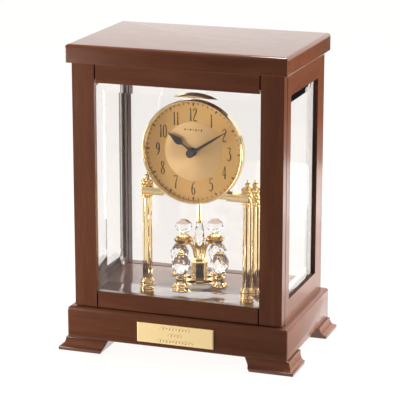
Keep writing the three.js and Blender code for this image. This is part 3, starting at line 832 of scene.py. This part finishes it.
def build_dial():
    """The dial plate with its raised centre, the numbers, the minute track and an ornament."""
    face, back = low("dial").y, high("dial").y
    radius = size("dial").x / 2
    inner = mm(28.4)
    hole = mm(3)
    raised = mm(0.12)
    at = facing_back(AXIS.x, face, AXIS.z)

    plate = [(hole, 0), (radius, 0), (radius, back - face), (hole, back - face)]
    shape = Shape(turned(plate, 192, closed=True), at)
    piece("dial_plate", shape, dial_ring, "root", "dial", smooth=30)

    disc = [
        (hole, -raised),
        (inner - mm(0.15), -raised),
        (inner, mm(0.05) - raised),
        (inner, mm(0.02)),
        (hole, mm(0.02)),
    ]
    shape = Shape(turned(disc, 192, closed=True), at)
    piece("dial_centre_disc", shape, dial_centre, "root", smooth=30)

    front, back = face - mm(0.05), face + mm(0.02)
    numerals = Shape()
    for hour in range(1, 13):
        angle = TURN * hour / 12
        closer = TWO_DIGITS_CLOSER if hour > 9 else 1
        x = AXIS.x + closer * NUMERAL_RADIUS * math.sin(angle)
        z = AXIS.z + NUMERAL_RADIUS * math.cos(angle)
        add_number(numerals, str(hour), x, z, front, back)
    piece("dial_numerals", numerals, print_black, "root", smooth=0)

    ticks = Shape()
    end = mm(46.9)
    for minute in range(60):
        long, wide, narrow = (2.9, 0.85, 0.6) if minute % 5 == 0 else (1.6, 0.5, 0.4)
        start = end - mm(long)
        outline = [(mm(-narrow), start), (mm(narrow), start), (mm(wide), end), (mm(-wide), end)]
        turn = Matrix.Rotation(TURN * minute / 60, 4, "Y")
        ticks.add(prism(outline, front, back), Matrix.Translation((AXIS.x, 0, AXIS.z)) @ turn)
    piece("dial_minute_track", ticks, print_black, "root", smooth=0)

    # a plain chain of lozenges under the twelve
    chain = Shape()
    z = AXIS.z + mm(21)
    for k in range(7):
        x = AXIS.x + mm(2.7) * (k - 3)
        wide, tall = (mm(0.65), mm(0.75)) if k % 2 else (mm(0.9), mm(1.25))
        outline = [(x - wide, z), (x, z - tall), (x + wide, z), (x, z + tall)]
        chain.add(prism(outline, face - raised - mm(0.05), face))
    piece("dial_lozenges", chain, print_black, "root", smooth=0)


def build_bezel():
    """A turned ring with a rounded brow, whose skirt runs back over the dial and the drum."""
    front = low("bezel").y
    deep = size("bezel").y
    outer = size("bezel").x / 2
    skirt, opening = outer - mm(0.9), mm(47.35)
    drop = low("dial").y - front
    seat = drop - mm(0.3)
    # heights run backwards from the front; the profile goes round the ring's section
    profile = [(skirt, deep), (skirt, seat), (opening, seat)]
    profile += mms((0, -1.4), (0.25, -1.7), (0.3, -2.7), (0.75, -3.0), out=opening, rise=drop)
    brow = [*arc(-1.15, 0.75, 0.75, 180, 270, 6), *arc(-0.75, 0.75, 0.75, 270, 360, 6)]
    profile += mms(*brow, (0, 1.7), (-0.35, 1.95), (-0.35, 2.6), (0, 2.9), out=outer)
    profile += mms((0, -0.6), *arc(-0.45, -0.45, 0.45, 0, 90, 4), out=outer, rise=deep)
    at = facing_back(AXIS.x, front, AXIS.z)
    shape = Shape(turned(profile[::-1], 192, closed=True), at)
    piece("bezel_turned", shape, gilt, "root", "bezel", smooth=32)


def build_drum():
    """The shallow cup behind the dial, open in front."""
    deep = size("dial_drum").y
    radius = size("dial_drum").x / 2
    hole, wall = mm(5.5), mm(1.2)
    profile = [(hole, deep - wall), (radius - wall, deep - wall), (radius - wall, 0), (radius, 0)]
    edge = [(0, -2.2), *arc(-1.6, -1.6, 1.6, 10, 80, 6), (-2.4, -0.3)]
    profile += mms(*edge, out=radius, rise=deep)
    profile.append((hole, deep - mm(0.3)))
    at = facing_back(AXIS.x, low("dial_drum").y, AXIS.z)
    shape = Shape(turned(profile[::-1], 192, closed=True), at)
    piece("dial_drum_turned", shape, gilt, "root", "dial_drum", smooth=32)


# ---------------------------------------------------------------- hands

HAND_THICK = mm(0.6)
HUB_RADIUS = mm(4.0)

# (half width, distance from the arbor) up one side of each blade, in millimetres
HOUR_OUTLINE = [
    (1.7, 3.2), (1.15, 5.0), (0.85, 8.0), (0.8, 12.2), (1.1, 13.2), (2.5, 14.4),
    (3.45, 16.4), (3.55, 18.4), (2.9, 21.0), (1.75, 24.4), (0.75, 27.8), (0.12, 30.2),
]
MINUTE_OUTLINE = [(2.0, 3.2), (1.65, 6.0), (1.3, 14.0), (1.15, 24.0), (0.75, 34.0), (0.12, 44.4)]


def build_hand(node, outline, degrees, hub, blade_front):
    """A flat blade, turned clockwise from twelve by some degrees, with its hub."""
    half = spline(mms(*outline), 4)
    points = half + [(-x, z) for x, z in reversed(half)]
    turn = Matrix.Rotation(math.radians(degrees), 4, "Y")
    at = Matrix.Translation((0, 0, AXIS.z)) @ turn
    shape = Shape(prism(points, blade_front, blade_front + HAND_THICK), at)
    shape.add(hub, facing_back(0, low(node).y, AXIS.z))
    piece(node + "_blade", shape, hand_black, node, node, smooth=30, bevel=mm(0.12))


def build_hands():
    # the hour hand's hub is a ring on its tube
    front, deep = low("hour_hand").y, size("hour_hand").y
    bore = mm(2.8)
    rim = mms(*arc(-0.3, 0.3, 0.3, 270, 360, 4), out=HUB_RADIUS)
    back = mms((0, -0.2), (-0.2, 0), out=HUB_RADIUS, rise=deep)
    ring = [(bore, 0), *rim, *back, (bore, deep)]
    build_hand("hour_hand", HOUR_OUTLINE, -55, turned(ring[::-1], 48, closed=True), front)

    # the minute hand's hub is a solid domed cap, bored from behind for the arbor
    front, deep = low("minute_hand").y, size("minute_hand").y
    bore, bore_end = mm(1.7), mm(1.1)
    rim = mms((-0.6, 0), *arc(-0.4, 0.4, 0.4, 270, 360, 4), out=HUB_RADIUS)
    back = mms((0, -0.2), (-0.2, 0), out=HUB_RADIUS, rise=deep)
    cap = [(0, 0), *rim, *back, (bore, deep), (bore, bore_end), (0, bore_end)]
    build_hand("minute_hand", MINUTE_OUTLINE, 57, turned(cap, 48), front + mm(0.8))


# ---------------------------------------------------------------- pendulum

PENDULUM_DIRECTION = centre("crystal_upper_right") - centre("crystal_upper_left")
PENDULUM_TURN = Matrix.Rotation(math.atan2(PENDULUM_DIRECTION.y, PENDULUM_DIRECTION.x), 4, "Z")
LOWER_CORNERS = ("front_left", "front_right", "rear_right", "rear_left")
LOWER_REACH = mm(18.5) * math.sqrt(2)


def at_point(point, z):
    """A place over a point of the floor, turned with the pendulum."""
    return Matrix.Translation((point.x, point.y, z)) @ PENDULUM_TURN


def build_crystals():
    for corner in LOWER_CORNERS:
        node = f"crystal_lower_{corner}"
        middle, half = centre(node), size(node).z / 2
        cut = faceted(egg(mm(9.2), half, 7, mm(1.6), mm(1.6)), 8)
        shape = Shape(cut, at_point(middle, middle.z))
        piece(node + "_cut", shape, crystal, "pendulum", node, smooth=0)

    for side in SIDES:
        node = f"crystal_upper_{side}"
        middle, half = centre(node), size(node).z / 2
        cut = faceted(egg(mm(8.3), half, 6, mm(2.6), mm(3.4)), 9)
        shape = Shape(cut, at_point(middle, middle.z))
        made = piece(node + "_cut", shape, light_crystal, "pendulum", node, smooth=0)
        made.data.materials.append(warm_crystal)
        for face in made.data.polygons:
            if face.center.z > middle.z + 0.35 * half:
                face.material_index = 1

    node = "pendulum_centre_crystal"
    foot, tall = low(node).z, size(node).z
    # (radius in millimetres, share of the height)
    rows = [(3.4, 0), (4.6, 0.12), (5.1, 0.3), (4.7, 0.5), (4.1, 0.72), (3.4, 0.9), (2.7, 1.0)]
    levels = [(mm(radius), foot + tall * share) for radius, share in rows]
    shape = Shape(faceted(levels, 8), PENDULUM_TURN)
    piece(node + "_cut", shape, crystal, "pendulum", node, smooth=0)


def build_rod():
    node = "pendulum_rod"
    lower = [(3.2, 0), *arc(3.0, 0.7, 0.6, -60, 70, 4), (2.9, 1.8), (2.5, 8), (1.9, 18), (1.75, 24)]
    profile = mms(*lower, rise=low(node).z)
    profile += mms((1.75, -2.6), (4.0, -2.3), (4.0, 0), rise=high(node).z)
    piece(node + "_turned", Shape(turned(capped(profile), 40)), gilt, "pendulum", node)


def arm_section(share):
    return mm(2.0 + 1.6 * share), mm(1.5 - 0.4 * share)


def petal_section(share):
    return mm(1.7 * math.sin(math.pi * (0.25 + 0.72 * share)) + 0.1), mm(0.5)


def build_carrier():
    """A fluted column with swept arms, saucers and reeded cups, and petals round the core."""
    node = "pendulum_carrier"
    bottom, top = low(node).z, high(node).z
    core_foot = low("pendulum_centre_crystal").z
    foot = [(4.2, 0), *arc(4.2, 0.8, 0.6, -60, 60, 4), (4.2, 1.8), (4.4, 8), (4.8, 13)]
    column = [*mms(*foot, rise=bottom), (mm(4.9), core_foot - mm(0.6))]
    shape = Shape(turned(capped(column), 80, fluted(10, mm(0.45))))

    under = [(0, -11.1), (2.6, -11.0), (5.6, -10.0), (8.2, -7.8), (9.5, -4.9)]
    saucer = mms(*under, (9.1, -4.8), (7.4, -7.7), (5.0, -9.5), (0, -10.1), rise=top)
    cup = mms((4.1, -10.3), (4.4, -8.3), (4.6, -4.3), (4.9, -0.5), (4.6, 0), (3.6, 0), rise=top)
    for side in SIDES:
        place = centre(f"crystal_upper_{side}")
        reach = math.hypot(place.x, place.y)
        arm = mms((3.2, 0.6), (4.6, 6), (6.2, 12), (9.4, 16.4), rise=bottom)
        path = spline([*arm, (reach, bottom + mm(18.2))], 5)
        outwards = Matrix.Rotation(math.atan2(place.y, place.x), 4, "Z")
        shape.add(tube(path, arm_section, 14), outwards)
        shape.add(turned(saucer, 96, leafy), at_point(place, 0))
        shape.add(turned(capped(cup), 72, reeded(10, mm(0.9))), at_point(place, 0))

    petal = spline(mms((4.0, -3), (5.6, 0), (6.3, 3.5), (6.0, 6.5), rise=core_foot), 4)
    for i in range(6):
        turn = Matrix.Rotation(TURN * i / 6, 4, "Z")
        shape.add(tube(petal, petal_section, 10), PENDULUM_TURN @ turn)
    piece(node + "_cast", shape, gilt, "pendulum", node, smooth=40)


PLATE_THICK = mm(1.5)
PLATE_RADIUS = mm(15.5)
ARM_HALF = mm(4)
LOBE = mm(7.6)
PANEL_HALF = mm(5.4)
LEDGE_HALF = mm(7.9)
LEDGE_THICK = mm(1.1)
PILLAR_BEADS = 9


def build_base():
    """A square post on a round plate, with four lobes that carry the pedestals."""
    node = "pendulum_base"
    bottom, post_top = low(node).z, high(node).z
    top = bottom + PLATE_THICK
    half = PLATE_THICK / 2
    edge = arc(PLATE_RADIUS, bottom + half, half, -80, 80, 5)
    plate = [(PLATE_RADIUS, bottom), *edge, (PLATE_RADIUS, top)]
    shape = Shape(turned(capped(plate), 96))
    for degrees in (45, 135):
        across = PENDULUM_TURN @ Matrix.Rotation(math.radians(degrees), 4, "Z")
        arms = box((-LOWER_REACH, -ARM_HALF, bottom), (LOWER_REACH, ARM_HALF, top))
        shape.add(arms, across)

    # the post: dark flat panels between beaded corner pillars, with a ledge at each end
    foot, head = top + LEDGE_THICK / 2, post_top - LEDGE_THICK
    step = (head - foot) / PILLAR_BEADS
    waves = []
    for k in range(PILLAR_BEADS):
        waves += [(mm(1.9), foot + k * step), (mm(2.6), foot + (k + 0.5) * step)]
    pillar = turned(capped(spline([*waves, (mm(1.9), head)], 3)), 20)
    for x in (-PANEL_HALF, PANEL_HALF):
        for y in (-PANEL_HALF, PANEL_HALF):
            shape.add(pillar, PENDULUM_TURN @ Matrix.Translation((x, y, 0)))
    for z in (top - LEDGE_THICK / 2, head):
        ledge = box((-LEDGE_HALF, -LEDGE_HALF, z), (LEDGE_HALF, LEDGE_HALF, z + LEDGE_THICK))
        shape.add(ledge, PENDULUM_TURN)

    pedestal = mms((6.9, 0), *arc(6.9, 0.7, 0.7, -80, 80, 6), rise=bottom)
    pedestal += mms(*arc(6.3, 0.6, 0.7, -80, 80, 6), (5.3, 1.6), (5.0, 2.4), rise=top)
    bulge = [(5.0, -3.4), *arc(4.9, -2.8, 0.6, -70, 80, 5), (3.2, -1.6), (1.6, -0.35)]
    pedestal += mms(*bulge, rise=low("crystal_lower_front_left").z)
    for corner in LOWER_CORNERS:
        spot = centre(f"crystal_lower_{corner}")
        shape.add(turned(capped(pedestal), 48), at_point(spot, 0))
        # pearls round the outer half of the lobe
        outwards = math.atan2(spot.y, spot.x)
        for i in range(-4, 5):
            angle = outwards + math.radians(20 * i)
            x, y = spot.x + LOBE * math.cos(angle), spot.y + LOBE * math.sin(angle)
            shape.add(ball(mm(1.1)), Matrix.Translation((x, y, top - mm(0.4))))
    piece(node + "_cast", shape, gilt, "pendulum", node)

    lowest = (-PANEL_HALF, -PANEL_HALF, bottom + mm(0.5))
    panels = Shape(box(lowest, (PANEL_HALF, PANEL_HALF, post_top - mm(0.2))), PENDULUM_TURN)
    piece("pendulum_post_panels", panels, dark_gilt, "pendulum")


def build_bead_caps():
    """Gilt caps of small pearls on the four lower crystals."""
    for corner in LOWER_CORNERS:
        node = f"crystal_lower_{corner}"
        spot, top = centre(node), high(node).z
        cap = mms((3.4, -1.6), (3.3, -0.9), (2.4, 0.2), (1.2, 0.7), (1.0, 1.4), rise=top)
        shape = Shape(turned(capped(cap), 32), at_point(spot, 0))
        shape.add(ball(mm(1.3), 14), at_point(spot, top + mm(2.0)))
        shape.add_beads(at_point(spot, top - mm(0.5)), 6, mm(2.9), 0, mm(0.95))
        piece(f"bead_cap_{corner}", shape, gilt, "pendulum")


# ---------------------------------------------------------------- movement


def build_movement():
    for name in ("movement_case", "battery_cover", "setting_knob"):
        dress(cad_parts[name], plastic)
        soften(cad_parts[name], mm(0.3))
    dress(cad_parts["battery"], cell_sleeve)
    for name in ("hour_wheel", "minute_arbor"):
        dress(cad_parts[name], brass)


# ---------------------------------------------------------------- stage, light and camera

HEIGHT = high("top_board").z
LOOK_AT = Vector((0, 0, 0.471 * HEIGHT))
CAMERA_DISTANCE = 6.107 * HEIGHT
CAMERA_AZIMUTH = 19.33
CAMERA_ELEVATION = 14.78
LENS = 170.08
WARM = (1.0, 0.975, 0.955)


def round_the_object(distance, azimuth, elevation):
    """A point seen from the object in that direction: azimuth 0 is in front, 90 on the right."""
    a, e = math.radians(azimuth), math.radians(elevation)
    direction = Vector((math.cos(e) * math.sin(a), -math.cos(e) * math.cos(a), math.sin(e)))
    return LOOK_AT + distance * direction


def aim(obj, place):
    """Puts a camera or a light into the scene at a place, turned to the object."""
    bpy.context.collection.objects.link(obj)
    obj.location = place
    obj.rotation_euler = (LOOK_AT - place).to_track_quat("-Z", "Y").to_euler()


def build_camera():
    camera = bpy.data.objects.new("camera", bpy.data.cameras.new("camera"))
    aim(camera, round_the_object(CAMERA_DISTANCE, CAMERA_AZIMUTH, CAMERA_ELEVATION))
    camera.data.lens = LENS
    camera.data.sensor_width = 36
    camera.data.clip_end = 50
    bpy.context.scene.camera = camera


def softbox(name, azimuth, elevation, distance, width, height, power):
    light = bpy.data.lights.new(name, "AREA")
    light.shape = "RECTANGLE"
    light.size, light.size_y = width, height
    light.energy = power
    light.color = WARM
    obj = bpy.data.objects.new(name, light)
    aim(obj, round_the_object(distance, azimuth, elevation))
    obj.visible_camera = False
    return obj


def build_light():
    world = bpy.data.worlds.new("studio")
    bpy.context.scene.world = world
    world.use_nodes = True
    background = world.node_tree.nodes["Background"]
    background.inputs["Color"].default_value = (*WARM, 1)
    background.inputs["Strength"].default_value = 0.2
    softbox("back_wall", 180, 20, 2.4, 3.6, 1.3, 13)
    softbox("key_overhead", 165, 82, 1.8, 0.7, 0.7, 80)
    right_low = softbox("right_low", 100, -2, 0.6, 0.3, 0.25, 10)
    right_low.visible_glossy = False
    softbox("left_near", -62, -2, 0.55, 0.35, 0.35, 5.6)
    bpy.context.scene.view_settings.view_transform = "Standard"


def stage_piece(name, corners, faces, grey, glow, roughness=0.9, specular=0.0):
    mesh = bpy.data.meshes.new(name)
    mesh.from_pydata(corners, [], faces)
    obj = bpy.data.objects.new(name, mesh)
    bpy.context.collection.objects.link(obj)
    nodes = Nodes(name, "stage")
    nodes.set(
        Base_Color=(grey, grey, grey, 1),
        Roughness=roughness,
        Specular_IOR_Level=specular,
        Emission_Color=(*WARM, 1),
        Emission_Strength=glow,
    )
    mesh.materials.append(nodes.material)
    return obj


def build_floor():
    """A white table lit from below as well, so that shadows on it stay faint."""
    corners = rectangle(-9.0, 9.0, -9.0, 9.0, 0)
    stage_piece("floor", corners, [(0, 1, 2, 3)], 0.045, 0.97, 0.8, 0.1)


def card(name, corners, faces, seen_by, grey=0.0, glow=0.0):
    """A studio card that one kind of ray sees: reflected rays, or those through glass."""
    made = stage_piece(name, corners, faces, grey, glow)
    for way in ("camera", "diffuse", "glossy", "transmission", "volume_scatter", "shadow"):
        setattr(made, "visible_" + way, way == seen_by)


def build_cards():
    """Grey cards on the floor beside the polished wood, and white ones beyond the glass."""
    for name, x0, x1, y0, y1, seen_by, grey in (
        ("front", -1.8, 1.2, -3.0, -0.088, "glossy", 0.04),
        ("right_near", 0.122, 1.6, -0.12, 0.17, "glossy", 0.22),
        ("right_middle", 0.15, 1.6, 0.45, 0.72, "glossy", 0.6),
        ("right_far", 0.15, 1.6, 0.72, 0.95, "glossy", 0.10),
        ("right_farthest", 0.15, 1.6, 0.95, 2.4, "glossy", 0.03),
        ("front_for_gold", -1.8, 1.2, -3.0, -0.40, "transmission", 0.35),
    ):
        card(name, rectangle(x0, x1, y0, y1, 0.002), [(0, 1, 2, 3)], seen_by, grey)

    # on the floor beyond the right side pane, lined up with the camera's direction:
    # its corners are (to the right of the camera's axis, away from the object)
    away = Matrix.Rotation(math.radians(CAMERA_AZIMUTH), 4, "Z")
    fan = [(0.080, 0.48), (0.125, 0.48), (0.125, 4.0), (0.080, 4.0)]
    corners = [away @ Vector((u * (1 + v / CAMERA_DISTANCE), v, 0.003)) for u, v in fan]
    card("behind_side_pane", corners, [(0, 1, 2, 3)], "transmission", glow=1.4)

    corners = rectangle(-5.0, 5.0, -5.0, 5.0, 0.0) + rectangle(-5.0, 5.0, -5.0, 5.0, 3.5)
    walls = [(0, 1, 5, 4), (1, 2, 6, 5), (2, 3, 7, 6), (3, 0, 4, 7), (4, 5, 6, 7)]
    card("white_room", corners, walls, "transmission", glow=0.7)


build_case()
build_feet()
build_glass_and_metalwork()
build_plate()
build_columns()
build_finials()
build_bar()
build_dial()
build_bezel()
build_drum()
build_hands()
build_crystals()
build_rod()
build_carrier()
build_base()
build_bead_caps()
build_movement()
build_floor()
build_light()
build_cards()
build_camera()
